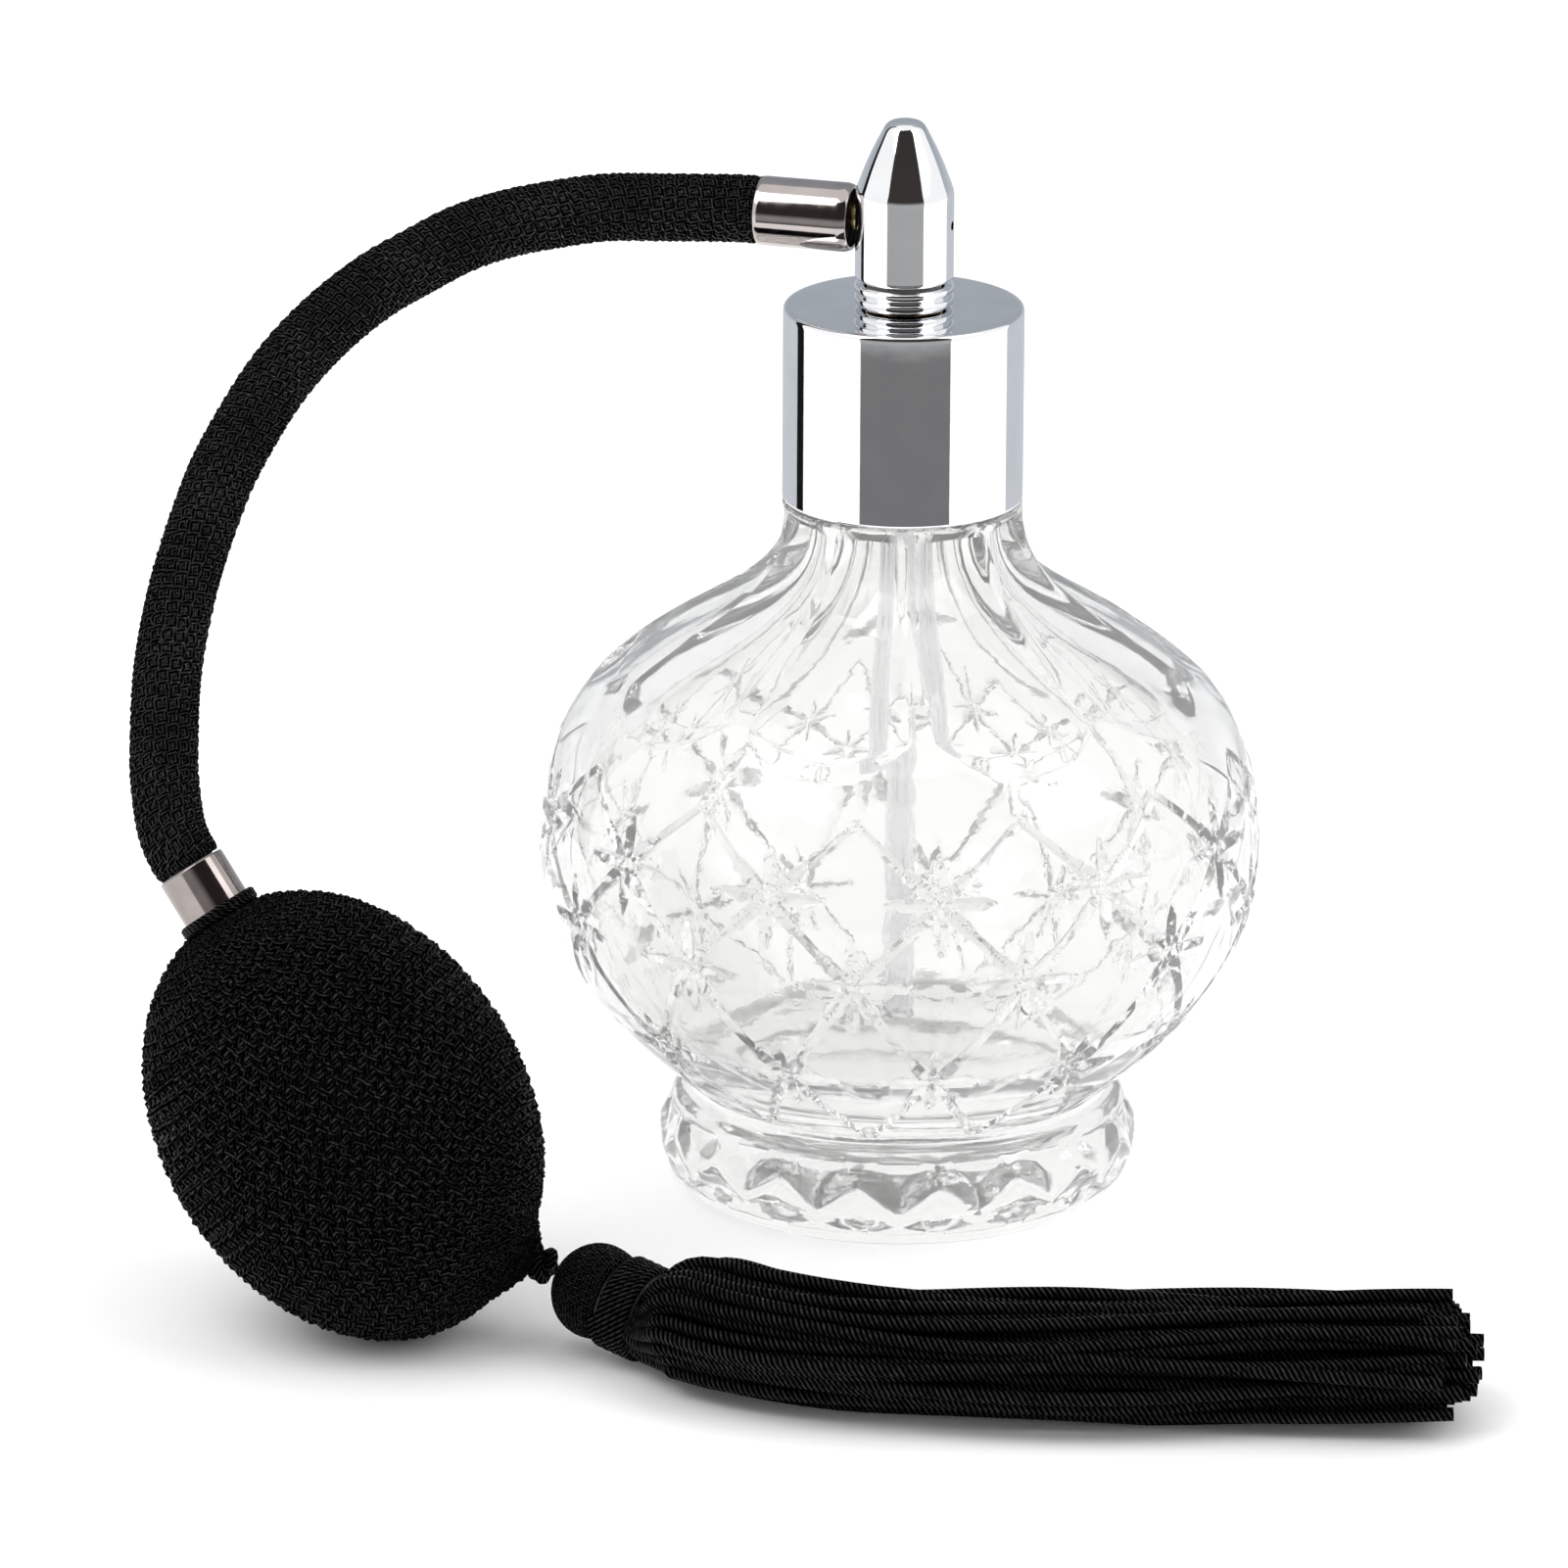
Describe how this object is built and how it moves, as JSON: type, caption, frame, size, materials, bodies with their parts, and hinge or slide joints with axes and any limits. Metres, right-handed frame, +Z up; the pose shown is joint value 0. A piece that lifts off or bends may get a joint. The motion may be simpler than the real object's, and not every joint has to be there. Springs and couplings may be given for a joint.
{
  "type": "perfume atomiser bottle",
  "caption": "Pressed-glass perfume atomiser with a chrome screw collar, swivelling spray head, braided air hose, netted squeeze bulb and tassel.",
  "frame": {"origin": "centre of the foot, on the flat face that the bottle stands on", "axes": "+Z up along the bottle's axis, +X to the right with the nozzle near it, -Y towards the person using it"},
  "size_m": [0.1413, 0.1218, 0.1192],
  "materials": {
    "clear_glass": "pressed and polished clear glass",
    "bright_chrome": "polished chrome plate",
    "brass_inner": "turned brass",
    "valve_ball_steel": "polished steel ball",
    "white_plastic": "moulded polypropylene",
    "clear_plastic": "clear extruded tube",
    "black_rubber": "soft black rubber",
    "black_thread": "black rayon cord, knitted, braided and twisted"
  },
  "bodies": {
    "bottle": {"glass_bottle": "clear_glass"},
    "washer": {"neck_washer": "black_rubber"},
    "sprayer": {"neck_plug": "white_plastic", "swivel_stem": "brass_inner", "dip_tube": "clear_plastic"},
    "collar": {"collar_shell": "bright_chrome", "collar_liner": "white_plastic"},
    "head": {"head_ribbed_ring": "bright_chrome", "head_shell": "bright_chrome", "head_core": "white_plastic", "air_jet": "brass_inner", "nozzle_tip": "brass_inner", "hose_spigot": "brass_inner", "head_ferrule": "bright_chrome", "hose_tubing": "black_rubber", "hose_sleeve": "black_thread", "bulb_ferrule": "bright_chrome", "bulb_spigot": "brass_inner", "bulb_net": "black_thread", "rubber_bulb": "black_rubber", "net_binding": "black_thread", "outlet_valve": "brass_inner", "intake_valve": "brass_inner"},
    "outlet_ball": {"outlet_ball": "valve_ball_steel"},
    "intake_ball": {"intake_ball": "valve_ball_steel"},
    "tassel_knot": {"tassel_knot": "black_thread"},
    "tassel": {"tassel_head": "black_thread", "tassel_core": "white_plastic", "tassel_band": "black_thread", "tassel_skirt": "black_thread"}
  },
  "joints": [
    {"name": "sprayer_lift_off", "type": "slide", "parent": "bottle", "child": "washer", "axis": [0, 0, 1], "range_m": [0, 0.085]},
    {"name": "thread_rise", "type": "slide", "parent": "washer", "child": "sprayer", "axis": [0, 0, 1], "range_m": [0, 0.0045]},
    {"name": "collar_turn", "type": "hinge", "parent": "sprayer", "child": "collar", "pos_m": [0, 0, 0.09], "axis": [0, 0, 1], "range_deg": [0, 540]},
    {"name": "head_swivel", "type": "hinge", "parent": "sprayer", "child": "head", "pos_m": [0, 0, 0.1], "axis": [0, 0, 1], "continuous": true},
    {"name": "outlet_valve_lift", "type": "slide", "parent": "head", "child": "outlet_ball", "axis": [-0.53, 0.27, 0.8039], "range_m": [0, 0.0008]},
    {"name": "intake_valve_lift", "type": "slide", "parent": "head", "child": "intake_ball", "axis": [-0.53, 0.27, 0.8039], "range_m": [0, 0.0008]},
    {"name": "tassel_swing", "type": "hinge", "parent": "head", "child": "tassel_knot", "pos_m": [-0.03757, -0.05161, 0.00816], "axis": [0, 0, 1], "range_deg": [-30, 20]},
    {"name": "tassel_lift", "type": "hinge", "parent": "tassel_knot", "child": "tassel", "pos_m": [-0.03757, -0.05161, 0.00816], "axis": [-0.5519, -0.8339, 0], "range_deg": [0, 35]}
  ],
  "couplings": [
    {"joint": "collar_turn", "follows": "thread_rise", "rad_per_m": 2094.3}
  ]
}
